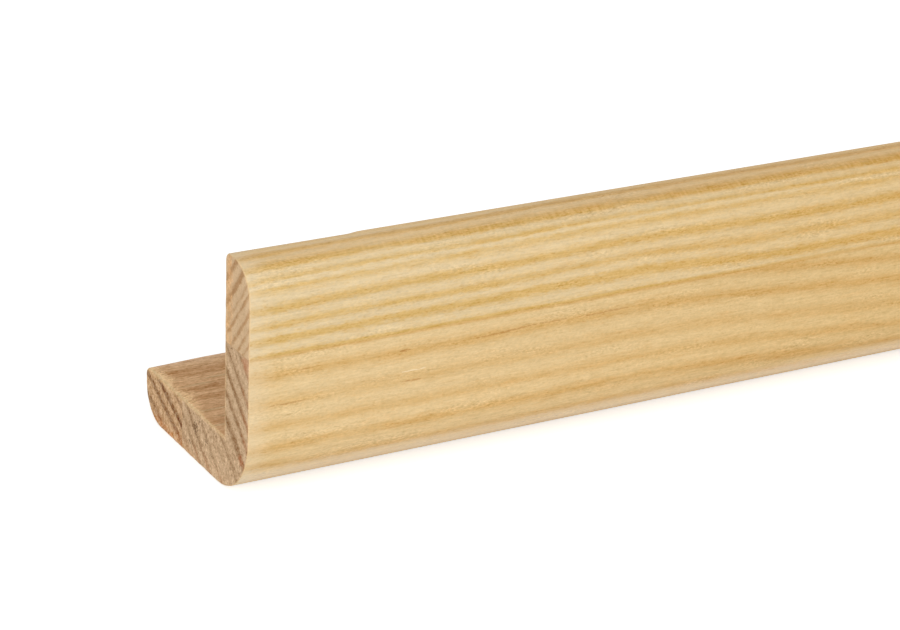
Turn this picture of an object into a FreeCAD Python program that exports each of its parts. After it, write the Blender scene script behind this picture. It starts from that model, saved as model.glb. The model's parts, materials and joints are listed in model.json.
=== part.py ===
import FreeCAD, Part
import os

# Corner guard moulding: an equal-legged wooden angle that covers the outside corner of a wall.
# The blank is glued up from three strips, edge to edge: a corner strip, which is an angle itself,
# and one strip that carries each leg on to its free edge. The section is then milled over all three,
# and the ends are sawn square.
#
# Frame: X runs along the stock and Z is up. The flat leg lies with its outer face on the floor, and the
# upright leg stands on the -Y side with its outer face towards -Y. The origin is at floor level, below
# the middle of the box round the stock.

# Driving dimensions, in millimetres
LENGTH = 900.0
LEG_WIDTH = 27.0  # each leg, over the outer face of the other
LEG_THICKNESS = 6.0
OUTER_CORNER_RADIUS = 8.0  # the corner that people brush past
TIP_RADIUS = 4.0  # the outer edge of each leg's tip
TIP_FLAT = 1.5  # what stays square on each tip between its two roundings
INNER_ARRIS_RADIUS = 0.5  # the wall-side edge of each tip, only eased
JOINT_DISTANCE = 17.0  # from the outer faces to each glue joint

# Two lengths closer than this are the same
SAME_LENGTH = 1e-6


def section_point(across, up):
    """A point on the near end, measured from where the two outer faces would meet."""
    return FreeCAD.Vector(-LENGTH / 2, across - LEG_WIDTH / 2, up)


def block(across, up, width, height):
    """A block as long as the stock, with one corner of its section at the given point."""
    return Part.makeBox(LENGTH, width, height, section_point(across, up))


def long_edge(solid, across, up):
    """The edge along the stock that passes through a point of the section."""
    corner = Part.Vertex(section_point(across, up))
    along = [edge for edge in solid.Edges if abs(edge.BoundBox.XLength - LENGTH) < SAME_LENGTH]
    return min(along, key=lambda edge: edge.distToShape(corner)[0])


def square_edged_angle():
    """The angle before its edges are rounded: a square bar without the wall's share of it."""
    bar = block(0, 0, LEG_WIDTH, LEG_WIDTH)
    wall_side = LEG_WIDTH - LEG_THICKNESS
    return bar.cut(block(LEG_THICKNESS, LEG_THICKNESS, wall_side, wall_side))


def moulded_angle():
    """The finished section over the full length, as if it were one piece of wood."""
    tip_radius = min(TIP_RADIUS, LEG_THICKNESS - INNER_ARRIS_RADIUS - TIP_FLAT)
    angle = square_edged_angle()
    angle = angle.makeFillet(OUTER_CORNER_RADIUS, [long_edge(angle, 0, 0)])
    angle = angle.makeFillet(
        tip_radius,
        [long_edge(angle, LEG_WIDTH, 0), long_edge(angle, 0, LEG_WIDTH)],
    )
    return angle.makeFillet(
        INNER_ARRIS_RADIUS,
        [
            long_edge(angle, LEG_WIDTH, LEG_THICKNESS),
            long_edge(angle, LEG_THICKNESS, LEG_WIDTH),
        ],
    )


def glued_strips():
    """The three strips, which share the moulded section and meet face to face at the glue joints."""
    angle = moulded_angle()
    beyond_joint = LEG_WIDTH - JOINT_DISTANCE
    shares = {
        "corner_strip": block(0, 0, JOINT_DISTANCE, JOINT_DISTANCE),
        "flat_leg_strip": block(JOINT_DISTANCE, 0, beyond_joint, LEG_THICKNESS),
        "upright_leg_strip": block(0, JOINT_DISTANCE, LEG_THICKNESS, beyond_joint),
    }
    return {name: angle.common(share).Solids[0] for name, share in shares.items()}


os.makedirs("parts", exist_ok=True)
for name, strip in glued_strips().items():
    strip.exportStep("parts/" + name + ".step")
    print(name, "volume", round(strip.Volume), "mm3, valid", strip.isValid())
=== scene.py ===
import json
import logging
import math
import random
from dataclasses import dataclass, replace
from enum import Enum
from typing import Optional, Sequence, Union

import bpy
import numpy as np
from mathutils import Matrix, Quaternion, Vector, geometry, noise


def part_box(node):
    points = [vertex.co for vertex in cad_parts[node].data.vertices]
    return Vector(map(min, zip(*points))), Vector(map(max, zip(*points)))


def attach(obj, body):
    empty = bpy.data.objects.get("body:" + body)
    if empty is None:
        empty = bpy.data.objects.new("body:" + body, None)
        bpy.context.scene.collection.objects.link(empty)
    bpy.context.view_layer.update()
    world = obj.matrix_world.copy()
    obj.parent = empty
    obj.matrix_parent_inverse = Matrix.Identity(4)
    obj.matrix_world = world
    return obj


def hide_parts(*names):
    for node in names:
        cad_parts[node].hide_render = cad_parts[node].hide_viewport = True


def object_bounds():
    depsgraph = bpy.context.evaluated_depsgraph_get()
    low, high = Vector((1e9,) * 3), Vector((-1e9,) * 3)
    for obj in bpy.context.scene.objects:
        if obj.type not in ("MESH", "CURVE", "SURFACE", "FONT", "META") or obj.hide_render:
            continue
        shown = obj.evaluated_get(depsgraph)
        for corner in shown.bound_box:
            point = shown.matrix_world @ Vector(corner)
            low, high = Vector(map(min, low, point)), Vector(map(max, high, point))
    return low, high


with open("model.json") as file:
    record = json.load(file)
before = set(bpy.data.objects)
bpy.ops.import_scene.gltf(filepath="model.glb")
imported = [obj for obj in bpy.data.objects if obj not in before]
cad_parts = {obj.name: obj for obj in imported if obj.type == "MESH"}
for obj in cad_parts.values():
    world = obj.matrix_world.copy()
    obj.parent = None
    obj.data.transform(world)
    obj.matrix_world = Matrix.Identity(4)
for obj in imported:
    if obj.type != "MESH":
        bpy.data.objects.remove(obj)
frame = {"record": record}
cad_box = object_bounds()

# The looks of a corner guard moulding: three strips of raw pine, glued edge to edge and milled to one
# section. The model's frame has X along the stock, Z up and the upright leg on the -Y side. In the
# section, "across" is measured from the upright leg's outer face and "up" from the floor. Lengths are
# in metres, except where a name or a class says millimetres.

MM = 0.001
BODY = "root"
LOG = logging.getLogger("corner_guard")

Colour = tuple[float, float, float]
Point2 = tuple[float, float]
Point3 = tuple[float, float, float]
Blot = tuple[float, float, float]
Tint = Union[Colour, bpy.types.NodeSocket]


def paint(red: int, green: int, blue: int) -> Colour:
    """Turns a screen colour into the linear one that shaders take.

    Args:
        red: Screen value from 0 to 255.
        green: Screen value from 0 to 255.
        blue: Screen value from 0 to 255.

    Returns:
        The linear colour, each part from 0 to 1.
    """
    def linear(level: int) -> float:
        """Linear value of one screen level."""
        share = level / 255
        return share / 12.92 if share <= 0.04045 else ((share + 0.055) / 1.055) ** 2.4

    return linear(red), linear(green), linear(blue)


class Strip(Enum):
    """The three glued strips, by the names of their CAD nodes."""

    CORNER = "corner_strip"
    FLAT_LEG = "flat_leg_strip"
    UPRIGHT_LEG = "upright_leg_strip"


class Signal:
    """A number that varies over a surface. Arithmetic on it adds nodes to its material."""

    def __init__(self, sheet: "NodeSheet", socket: bpy.types.NodeSocket) -> None:
        """Keeps the sheet and the output that carries the number."""
        self.sheet = sheet
        self.socket = socket

    def __add__(self, other: "Amount") -> "Signal":
        """Sum."""
        return self.sheet.math("ADD", self, other)

    def __sub__(self, other: "Amount") -> "Signal":
        """Difference."""
        return self.sheet.math("SUBTRACT", self, other)

    def __rsub__(self, other: "Amount") -> "Signal":
        """Difference, with this number taken away."""
        return self.sheet.math("SUBTRACT", other, self)

    def __mul__(self, other: "Amount") -> "Signal":
        """Product."""
        return self.sheet.math("MULTIPLY", self, other)

    def sine(self) -> "Signal":
        """Sine of this number, in radians."""
        return self.sheet.math("SINE", self)

    def fraction(self) -> "Signal":
        """What is left over the whole number below."""
        return self.sheet.math("FRACT", self)

    def absolute(self) -> "Signal":
        """Size without the sign."""
        return self.sheet.math("ABSOLUTE", self)

    def at_most(self, other: "Amount") -> "Signal":
        """The smaller of two numbers."""
        return self.sheet.math("MINIMUM", self, other)

    def at_least(self, other: "Amount") -> "Signal":
        """The larger of two numbers."""
        return self.sheet.math("MAXIMUM", self, other)

    def rise(self, low: float, high: float, top: float = 1.0) -> "Signal":
        """Goes smoothly from 0 to the top.

        Args:
            low: Where it leaves 0.
            high: Where it reaches the top. Below low, it falls instead of rising.
            top: What it reaches.

        Returns:
            The eased value from 0 to the top.
        """
        start, end = min(low, high), max(low, high)
        node = self.sheet.add("ShaderNodeMapRange", interpolation_type="SMOOTHSTEP")
        self.sheet.feed(node.inputs["Value"], self)
        node.inputs["From Min"].default_value = start
        node.inputs["From Max"].default_value = end
        node.inputs["To Min"].default_value = 0.0 if low < high else top
        node.inputs["To Max"].default_value = top if low < high else 0.0
        return Signal(self.sheet, node.outputs["Result"])


Amount = Union[float, Signal]


class NodeSheet:
    """The node tree of one material, with short ways to add to it."""

    # What shade adds for an amount of 1. In pale wood, the parts change by about equal screen levels
    SHADE_TINT = (0.72, 0.61, 0.43)

    # Sockets of a Mix node for colours, by number
    MIX_SHARE, MIX_FIRST, MIX_SECOND = 0, 6, 7
    MIX_RESULT = 2

    def __init__(self, name: str) -> None:
        """Starts an empty material.

        Args:
            name: The material's name.
        """
        self.material = bpy.data.materials.new(name)
        self.material.use_nodes = True
        self.tree = self.material.node_tree
        self.tree.nodes.clear()

    def add(self, kind: str, **settings: object) -> bpy.types.Node:
        """Adds a node.

        Args:
            kind: The node's type.
            **settings: Properties to set on it.

        Returns:
            The new node.
        """
        node = self.tree.nodes.new(kind)
        for name, value in settings.items():
            setattr(node, name, value)
        return node

    def feed(self, target: bpy.types.NodeSocket, value: Union[Amount, Tint]) -> None:
        """Gives an input its value.

        Args:
            target: The input.
            value: A number, a colour, or the output that it follows.
        """
        if isinstance(value, Signal):
            self.tree.links.new(value.socket, target)
        elif isinstance(value, bpy.types.NodeSocket):
            self.tree.links.new(value, target)
        elif isinstance(value, tuple) and target.type == "RGBA":
            target.default_value = (*value, 1.0)
        else:
            target.default_value = value

    def math(self, operation: str, first: Amount, second: Amount = 0.0) -> Signal:
        """Adds a sum on one or two numbers.

        Args:
            operation: The operation's name.
            first: Its first number.
            second: Its second number, where it takes one.

        Returns:
            The result.
        """
        node = self.add("ShaderNodeMath", operation=operation)
        self.feed(node.inputs[0], first)
        self.feed(node.inputs[1], second)
        return Signal(self, node.outputs[0])

    def stretch(self, place: bpy.types.NodeSocket, scale: Point3, shift: Point3) -> bpy.types.NodeSocket:
        """Scales and then moves a place in space.

        Args:
            place: The place.
            scale: Factor along each axis.
            shift: What is added afterwards.

        Returns:
            The new place.
        """
        node = self.add("ShaderNodeVectorMath", operation="MULTIPLY_ADD")
        self.feed(node.inputs[0], place)
        node.inputs[1].default_value = scale
        node.inputs[2].default_value = shift
        return node.outputs[0]

    def noise(self, place: bpy.types.NodeSocket, grain: "Grain") -> Signal:
        """Adds a cloudy pattern, centred on 0 and mostly from -0.5 to 0.5.

        Args:
            place: Where it is read, in millimetres.
            grain: Its size in each direction and its detail.

        Returns:
            The pattern's value.
        """
        node = self.add("ShaderNodeTexNoise", noise_dimensions="3D")
        scale = tuple(1 / length for length in grain.lengths_mm)
        self.feed(node.inputs["Vector"], self.stretch(place, scale, grain.shift))
        node.inputs["Scale"].default_value = 1.0
        node.inputs["Detail"].default_value = grain.detail
        node.inputs["Roughness"].default_value = grain.roughness
        return (Signal(self, node.outputs[0]) - 0.5) * 2.0

    def ramp(self, position: Signal, stops: Sequence[tuple[float, Colour]]) -> bpy.types.NodeSocket:
        """Reads a row of colours at a position.

        Args:
            position: From 0 to 1.
            stops: Positions and their colours, in order.

        Returns:
            The colour there.
        """
        node = self.add("ShaderNodeValToRGB")
        elements = node.color_ramp.elements
        while len(elements) < len(stops):
            elements.new(1.0)
        for element, (place, colour) in zip(elements, stops):
            element.position = place
            element.color = (*colour, 1.0)
        self.feed(node.inputs[0], position)
        return node.outputs["Color"]

    def split(self, vector: bpy.types.NodeSocket) -> tuple[Signal, Signal, Signal]:
        """Takes a vector or colour apart.

        Args:
            vector: The vector or colour.

        Returns:
            Its three parts.
        """
        node = self.add("ShaderNodeSeparateXYZ")
        self.feed(node.inputs[0], vector)
        return tuple(Signal(self, output) for output in node.outputs)

    def join(self, first: Signal, second: Signal, third: Signal) -> bpy.types.NodeSocket:
        """Makes a place in space.

        Args:
            first: Its X.
            second: Its Y.
            third: Its Z.

        Returns:
            The place.
        """
        node = self.add("ShaderNodeCombineXYZ")
        for target, part in zip(node.inputs, (first, second, third)):
            self.feed(target, part)
        return node.outputs[0]

    def mix(self, share: Amount, first: Tint, second: Tint) -> bpy.types.NodeSocket:
        """Goes from one colour to another.

        Args:
            share: 0 for the first, 1 for the second.
            first: A colour.
            second: A colour.

        Returns:
            The mixed colour.
        """
        node = self.add("ShaderNodeMix", data_type="RGBA", clamp_factor=True)
        self.feed(node.inputs[self.MIX_SHARE], share)
        self.feed(node.inputs[self.MIX_FIRST], first)
        self.feed(node.inputs[self.MIX_SECOND], second)
        return node.outputs[self.MIX_RESULT]

    def blend(self, kind: str, first: Tint, second: Tint) -> bpy.types.NodeSocket:
        """Combines two colours.

        Args:
            kind: How, such as MULTIPLY.
            first: A colour.
            second: A colour.

        Returns:
            The new colour.
        """
        node = self.add("ShaderNodeMix", data_type="RGBA", blend_type=kind)
        node.inputs[self.MIX_SHARE].default_value = 1.0
        self.feed(node.inputs[self.MIX_FIRST], first)
        self.feed(node.inputs[self.MIX_SECOND], second)
        return node.outputs[self.MIX_RESULT]

    def shade(self, colour: Tint, amount: Signal) -> bpy.types.NodeSocket:
        """Makes a colour lighter or darker.

        Args:
            colour: The colour.
            amount: How much, below 0 for darker.

        Returns:
            The new colour.
        """
        node = self.add("ShaderNodeVectorMath", operation="SCALE")
        node.inputs[0].default_value = self.SHADE_TINT
        self.feed(node.inputs["Scale"], amount)
        return self.blend("ADD", colour, node.outputs[0])


@dataclass(frozen=True)
class Grain:
    """How large and how detailed a cloudy pattern in the wood is."""

    lengths_mm: Point3
    detail: float = 2.0
    roughness: float = 0.5
    shift: Point3 = (0.0, 0.0, 0.0)


@dataclass(frozen=True)
class Section:
    """The moulded section and the stock's length. The leans are the slopes of the saw cuts, off square."""

    length: float
    leg_width: float
    leg_thickness: float
    joint_distance: float
    outer_corner_radius: float = 8.0 * MM
    tip_radius: float = 4.0 * MM
    inner_arris_radius: float = 0.5 * MM
    near_cut_lean: float = 0.013
    far_cut_lean: float = 0.006

    @classmethod
    def from_frame(cls) -> "Section":
        """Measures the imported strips.

        Returns:
            The section that they share.
        """
        low, high = cad_box
        corner_low, corner_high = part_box(Strip.CORNER.value)
        flat_low, flat_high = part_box(Strip.FLAT_LEG.value)
        return cls(
            length=high.x - low.x,
            leg_width=high.y - low.y,
            leg_thickness=flat_high.z - flat_low.z,
            joint_distance=corner_high.y - corner_low.y,
        )


@dataclass(frozen=True)
class Wave:
    """One slow sideways bend of the growth rings, beyond the part that the photograph shows."""

    height_mm: float
    length_mm: float

    def at(self, along_mm: np.ndarray) -> np.ndarray:
        """Height of the wave at places along the stock."""
        return self.height_mm * np.sin(along_mm * (2 * math.pi / self.length_mm))

    def signal(self, along_mm: Signal) -> Signal:
        """The same height as nodes."""
        return (along_mm * (2 * math.pi / self.length_mm)).sine() * self.height_mm


@dataclass(frozen=True)
class Drift:
    """A stretch along the stock over which the growth rings climb or sink for good.

    Where idle_at is given, the rings there stay in line and only those from full_at on move fully.
    """

    height_mm: float
    start_mm: float
    end_mm: float
    idle_at: Optional[float] = None
    full_at: float = 0.0

    def at(self, along_mm: np.ndarray, depth_mm: np.ndarray) -> np.ndarray:
        """How far the rings at a depth have climbed at places along the stock."""
        climb = self.height_mm * smooth_share(along_mm, self.start_mm, self.end_mm)
        return climb if self.idle_at is None else climb * smooth_share(depth_mm, self.idle_at, self.full_at)

    def signal(self, along_mm: Signal, depth_mm: Signal) -> Signal:
        """The same height as nodes."""
        climb = along_mm.rise(self.start_mm, self.end_mm) * self.height_mm
        return climb if self.idle_at is None else climb * depth_mm.rise(self.idle_at, self.full_at)


def smooth_share(value: np.ndarray, start: float, end: float) -> np.ndarray:
    """Eased share from 0 at the start to 1 at the end."""
    share = np.clip((value - start) / (end - start), 0, 1)
    return share * share * (3 - 2 * share)


@dataclass(frozen=True)
class Ring:
    """One growth ring: where its latewood is darkest, and how dark it is on the faces and on the ends."""

    place_mm: float
    strength: float
    end_strength: float


@dataclass(frozen=True)
class GrowthRings:
    """The growth rings of one strip, as its end shows them, followed along the stock.

    The rings that the photograph shows are given, and those around them continue at the same spacing, with
    a spread in their gaps and strengths. The fade gives the darkness from one ring to the next.
    """

    normal_degrees: float
    seen: tuple[Ring, ...]
    spacing_mm: float
    reach_mm: Point2
    seed: int
    drifts: tuple[Drift, ...]
    waves: tuple[Wave, ...]
    fade: tuple[Point2, ...]
    bend_per_mm: float = 0.0
    spacing_spread: Point2 = (0.75, 1.3)
    strength_spread: Point2 = (0.45, 1.0)
    wobble: Grain = Grain((14.0, 1.1, 1.1))
    wobble_mm: float = 0.12
    ragged: Grain = Grain((1.1, 0.3, 0.3), 2.0, 0.6)
    ragged_mm: float = 0.24
    patches: Grain = Grain((6.0, 1.0, 1.0), 3.0, 0.6)
    patchiness: float = 0.8
    shown_mm: Point2 = (84.0, 190.0)

    @property
    def normal(self) -> Point2:
        """The way across the rings, as across and up."""
        angle = math.radians(self.normal_degrees)
        return math.cos(angle), math.sin(angle)

    @property
    def rings(self) -> list[Ring]:
        """The given rings and those that continue them to both sides.

        Returns:
            All rings in order.
        """
        chance = random.Random(self.seed)
        below, above = [], []
        for side, sign, start, limit in (
            (below, -1, self.seen[0], self.reach_mm[0]),
            (above, 1, self.seen[-1], self.reach_mm[1]),
        ):
            place = start.place_mm
            while sign * place < sign * limit:
                place += sign * self.spacing_mm * chance.uniform(*self.spacing_spread)
                strength = chance.uniform(*self.strength_spread)
                side.append(Ring(place, strength, strength))
        return [*reversed(below), *self.seen, *above]

    def latewood(self, along: np.ndarray, across: np.ndarray, up: np.ndarray) -> np.ndarray:
        """How dark the wood is at places in it, for the relief of the meshes.

        Args:
            along: Millimetres from the near end.
            across: Millimetres from the upright's outer face.
            up: Millimetres from the floor.

        Returns:
            From 0 in earlywood to 1 in latewood.
        """
        toward, aside = self.normal
        beyond = smooth_share(along, *self.shown_mm)
        straight = across * toward + up * aside
        climb = sum(drift.at(along, straight) for drift in self.drifts)
        level = up - climb - beyond * sum(wave.at(along) for wave in self.waves)
        sideways = level * toward - across * aside
        depth = across * toward + level * aside + self.bend_per_mm * sideways ** 2
        rings = self.rings
        places = [ring.place_mm for ring in rings]
        count = np.interp(depth, places, range(len(rings)))
        strength = np.interp(depth, places, [ring.strength for ring in rings])
        return np.interp(count % 1.0, *zip(*self.fade)) * strength

    def signal(self, sheet: NodeSheet, wood: "WoodPlace") -> tuple[Signal, Signal, bpy.types.NodeSocket]:
        """The same darkness as nodes, a little ragged.

        Args:
            sheet: The material's nodes.
            wood: The place in the wood.

        Returns:
            From 0 in earlywood to 1 in latewood, for the long faces and for the sawn ends, and the place as
            measured along the stock, along the rings and across them, in millimetres.
        """
        toward, aside = self.normal
        straight = wood.across * toward + wood.up * aside
        level = wood.up
        for drift in self.drifts:
            level = level - drift.signal(wood.along, straight)
        beyond = wood.along.rise(*self.shown_mm)
        for wave in self.waves:
            level = level - beyond * wave.signal(wood.along)
        sideways = level * toward - wood.across * aside
        depth = wood.across * toward + level * aside + sideways * sideways * self.bend_per_mm
        ring_place = sheet.join(wood.along, sideways, depth)
        depth = depth + sheet.noise(wood.place, self.wobble) * self.wobble_mm
        depth = depth + sheet.noise(wood.place, self.ragged) * self.ragged_mm
        rings = self.rings
        first, last = rings[0].place_mm, rings[-1].place_mm
        gaps = len(rings) - 1
        stops = [
            ((ring.place_mm - first) / (last - first), (number / gaps, ring.strength, ring.end_strength))
            for number, ring in enumerate(rings)
        ]
        position = (depth - first) * (1 / (last - first))
        count, strength, end_strength = sheet.split(sheet.ramp(position, stops))
        fade = [(place, (darkness,) * 3) for place, darkness in self.fade]
        darkness, _, _ = sheet.split(sheet.ramp((count * float(gaps)).fraction(), fade))
        patches = replace(self.patches, shift=(0.0, 0.0, float(self.seed)))
        darkness = darkness * (sheet.noise(wood.place, patches) * self.patchiness + 1.0)
        return darkness * strength, darkness * end_strength, ring_place


class WoodPlace:
    """Where a shaded point lies in the stock, in millimetres."""

    # How far short of the wall side its colour begins and is full
    WALL_EDGE_MM = (0.12, 0.04)

    def __init__(self, sheet: NodeSheet, section: Section) -> None:
        """Measures from the near end, the upright's outer face and the floor.

        Args:
            sheet: The material's nodes.
            section: The stock's sizes.
        """
        coordinates = sheet.add("ShaderNodeTexCoord")
        per_metre = 1 / MM
        shift = (section.length / 2 * per_metre, section.leg_width / 2 * per_metre, 0.0)
        self.place = sheet.stretch(coordinates.outputs["Object"], (per_metre,) * 3, shift)
        self.along, self.across, self.up = sheet.split(self.place)
        normal = sheet.add("ShaderNodeNewGeometry").outputs["Normal"]
        facing = sheet.split(normal)
        self.end_facing = facing[0].absolute()
        half = section.length / 2 * per_metre
        self.from_end = half - (self.along - half).absolute()
        wall = section.leg_thickness * per_metre
        self.wall_side = self.across.at_most(self.up).rise(*(wall - short for short in self.WALL_EDGE_MM))


@dataclass(frozen=True)
class Fleck:
    """A short streak of resin, or of pale torn fibre, in the upright's outer face, in millimetres."""

    along: float
    up: float
    length: float
    width: float
    strength: float
    slope: float = 0.0
    pale: bool = False


@dataclass(frozen=True)
class PineTones:
    """The colours of one strip's wood, on its faces and on its sawn ends."""

    earlywood: Colour
    latewood: Colour
    # Multiplied in away from the near end as painted shade, for light that falls off along the stock, and
    # in random clouds as the wood's own warmer tone
    blush_and_falloff_shade: Colour
    end_earlywood: Colour
    end_latewood: Colour
    end_edge: Colour
    tip: Colour = paint(255, 246, 235)
    # Painted light: a pale grey tone for the lower rounding, standing for light bounced up from the floor
    base: Colour = paint(242, 221, 191)
    wall: Colour = paint(234, 190, 141)
    wall_band: Colour = paint(202, 149, 91)
    wall_rim: Colour = paint(252, 212, 172)
    # A paler grey-olive tone that streaks the wall side
    grey_olive_streaks: Colour = paint(210, 184, 136)
    # Painted highlight: the pale eased edge round the sawn ends, where the edge catches light
    arris_highlight: Colour = paint(226, 194, 146)
    # The torn fibres' own pale colour, made lighter in part as painted highlight where raised fibres catch
    # light
    frayed: Colour = paint(253, 212, 158)
    ruddy: Colour = paint(254, 245, 232)
    resin: Colour = paint(176, 124, 62)
    pore: Colour = paint(236, 219, 188)
    torn_fibre: Colour = paint(250, 232, 196)
    fresh_cut: Colour = paint(245, 230, 204)
    glue: Colour = paint(186, 142, 92)
    pit: Colour = paint(112, 80, 46)
    end_reddish: Colour = paint(186, 124, 80)
    end_blot: Colour = paint(196, 116, 72)


@dataclass(frozen=True)
class EndStain:
    """A band along one edge of the sawn end that is more orange, between two distances in millimetres."""

    faint: Point2
    full: Point2
    amount: float
    ragged_mm: float = 0.8
    upright: bool = False


@dataclass(frozen=True)
class PineFinish:
    """Raw planed pine with growth rings that run through the strip.

    The pits in the end are given as across and up, the blots as across, up and radius, in millimetres.
    """

    name: str
    tones: PineTones
    rings: GrowthRings
    seed: float
    end_stain: EndStain
    flecks: tuple[Fleck, ...] = ()
    face_speckle: float = 1.0
    end_speckle: float = 1.0
    end_pits: tuple[Point2, ...] = ()
    end_blots: tuple[Blot, ...] = ()

    def build(self, section: Section) -> bpy.types.Material:
        """Makes the material for stock of the given sizes."""
        return PineSurface(self, section).material()


@dataclass(frozen=True)
class Recipe:
    """How much of each pattern goes into a sum. PineSurface holds the patterns under the same names."""

    late: float = 0.0
    end_late: float = 0.0
    fibre: float = 0.0
    speckle: float = 0.0
    mottle: float = 0.0
    torn: float = 0.0
    pores: float = 0.0
    clouds: float = 0.0
    streaks: float = 0.0
    bands: float = 0.0
    wall_streaks: float = 0.0
    ragged: float = 0.0
    coarse: float = 0.0
    fine: float = 0.0
    clumps: float = 0.0
    thin: float = 0.0


class PineSurface:
    """Builds the nodes of one strip's wood."""

    # Patterns: size along the stock and in the section, in millimetres, then detail and roughness
    FIBRE = (2.6, 0.22, 2.0, 0.6)
    SPECKLE = (0.42, 0.18, 1.0, 0.7)
    MOTTLE = (1.3, 0.55, 2.0, 0.6)
    TORN = (0.5, 0.45, 3.0, 0.7)
    PORES = (0.6, 0.16, 1.0, 0.6)
    CLOUDS = (70.0, 6.0)
    BANDS = (60.0, 1.7, 3.0, 0.6)
    WALL_STREAKS = (8.0, 0.4, 3.0, 0.65)
    RAGGED = (0.6, 0.4, 3.0, 0.75)
    COARSE = (3.0, 2.0)
    FINE = (0.2, 0.16, 1.0)
    CLUMPS = (0.9, 0.7, 2.0, 0.6)
    RUDDY = (5.0, 0.9, 3.0, 0.6)
    DOTTED = (11.0, 1.6)
    CHATTER = (0.5, 2.5)
    BROKEN_FLECKS = (0.7, 0.15, 2.0, 0.7)
    GREY_OLIVE_STREAKS = (10.0, 0.7)
    FRAYED_REACH = (9.0, 4.0)
    FRAYED_GAPS = (0.45, 0.35, 2.0, 0.6)
    STAIN_BLOTCHES = (2.0, 0.9)
    BROKEN_GLUE = (6.0, 1.0)
    SEED_SHIFT = 0.7

    # Layers: size along the stock, along the rings and across the rings, in millimetres
    STREAKS = (18.0, 5.0, 0.4)
    THIN = (6.0, 3.0, 0.32)
    LAYER_DETAIL = (3.0, 0.6)

    # Where a look begins and where it is full, in millimetres, then its strength where that isn't 1
    JOINT_STRIPE_MM = (0.42, 0.1, 0.65)
    # Painted shade: from the near end to where the falloff along the stock is full
    FALLOFF_SHADE_MM = (0.0, 110.0)
    TIP_MM = (25.8, 27.0)
    # Painted light on the flat top of the upright's tip: where it begins, where it is full, and how much
    # lighter
    TIP_TOP_PAINTED_LIGHT_MM = (26.7, 27.0, 0.13)
    # Painted light from the floor: where the pale tone on the lower rounding begins, where it is full, and
    # its share
    FLOOR_BOUNCE_LIGHT_MM = (4.4, 2.2, 0.85)
    CHATTER_ALONG_MM = (9.0, 20.0)
    CHATTER_UP_MM = (25.0, 26.2)
    CHATTER_TOP_MM = (26.98, 26.8)
    FRESH_CUT_MM = (3.6, 0.1, 0.2)
    UPRIGHT_FACE_MM = (1.2, 0.8)
    WALL_RIM_MM = (25.0, 26.2, 0.6)
    FRAYED_WIDER_MM = (9.0, 18.0)
    FRAYED_EDGE_MM = (0.25, -0.2)
    # Where the painted highlight on the torn fibres begins, where it is full, and how much
    FRAYED_HIGHLIGHT_MM = (0.7, 0.1, 0.2)
    END_RED_MM = (2.2, 0.9, 0.55)
    END_PALE_MM = (2.0, 0.3, 0.05)
    FOOT_PALE_ACROSS_MM = (14.5, 10.0)
    FOOT_PALE_UP_MM = (4.2, 2.0, 0.05)
    FOOT_ROUGH_UP_MM = (7.0, 5.0, 0.25)
    THIN_EDGE_MM = (0.55, 0.1, 0.45)
    WIDE_EDGE_MM = (0.7, 0.15, 0.65)
    WIDE_EDGE_ACROSS_MM = (16.0, 21.0)
    GLUE_LINE_MM = (0.1, 0.02)

    # The same in the value that a look follows
    END_FACING = (0.5, 0.8)
    ARRIS_FACING = (0.04, 0.4)
    ARRIS_FACING_GONE = (0.985, 0.8, 0.7)
    PORE_LEVELS = (0.16, 0.42)
    CLOUD_LEVELS = (0.0, 0.6, 0.4)
    RUDDY_LEVELS = (0.05, 0.45, 0.5)
    DARKEST_LEVELS = (1.3, 1.8, 0.1)
    DOTTED_LEVELS = (0.05, 0.4, 0.17)
    FLECK_LEVELS = (1.1, 0.2)
    GREY_OLIVE_LEVELS = (0.12, 0.4, 0.5)
    FRAYED_GAP_LEVELS = (-0.3, 0.05, 0.55)
    END_LINE_LEVELS = (0.2, 1.0)
    PIT_REACH_LEVELS = (0.8, 0.0, 0.36)
    PIT_LEVELS = (-0.36, -0.58, 0.8)
    STAIN_LEVELS = (-0.2, 0.3, 0.6)
    GLUE_LEVELS = (-0.2, 0.5, 0.15)

    # How far a pattern moves the edge of a look, in millimetres or in the value that the look follows
    JOINT_RAGGED = 0.15
    TIP_RAGGED = 0.6
    FRESH_RAGGED = 0.5
    RIM_RAGGED = 0.5
    FLECK_RAGGED = 0.06
    FLECK_BROKEN = 3.0
    FRAYED_RAGGED = 0.3
    FRAYED_RAGGED_WIDTHS = 1.9
    THIN_EDGE_RAGGED = 0.4
    WIDE_EDGE_RAGGED = 1.1
    STAIN_RAGGED = 0.5
    ARRIS_RAGGED = 0.2

    # How strong a look is where nothing adds to it, and how much latewood or torn fibre adds
    SPECKLE_LEAST = 0.13
    PORES_LEAST, PORES_IN_LATEWOOD = 0.1632, 0.408
    CHATTER_LEAST, CHATTER_IN_LATEWOOD = 0.05, 0.16
    WALL_BAND_LEAST = 0.1
    FRAYED_WIDTH_LEAST_MM = 0.16
    FRAYED_LEAST = 0.4
    STAIN_LEAST, STAIN_TORN = 0.4, 0.6
    ARRIS_TORN = 0.5
    BLOT_STRENGTH = 0.45
    GLUE_ON_END = 0.2

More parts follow.
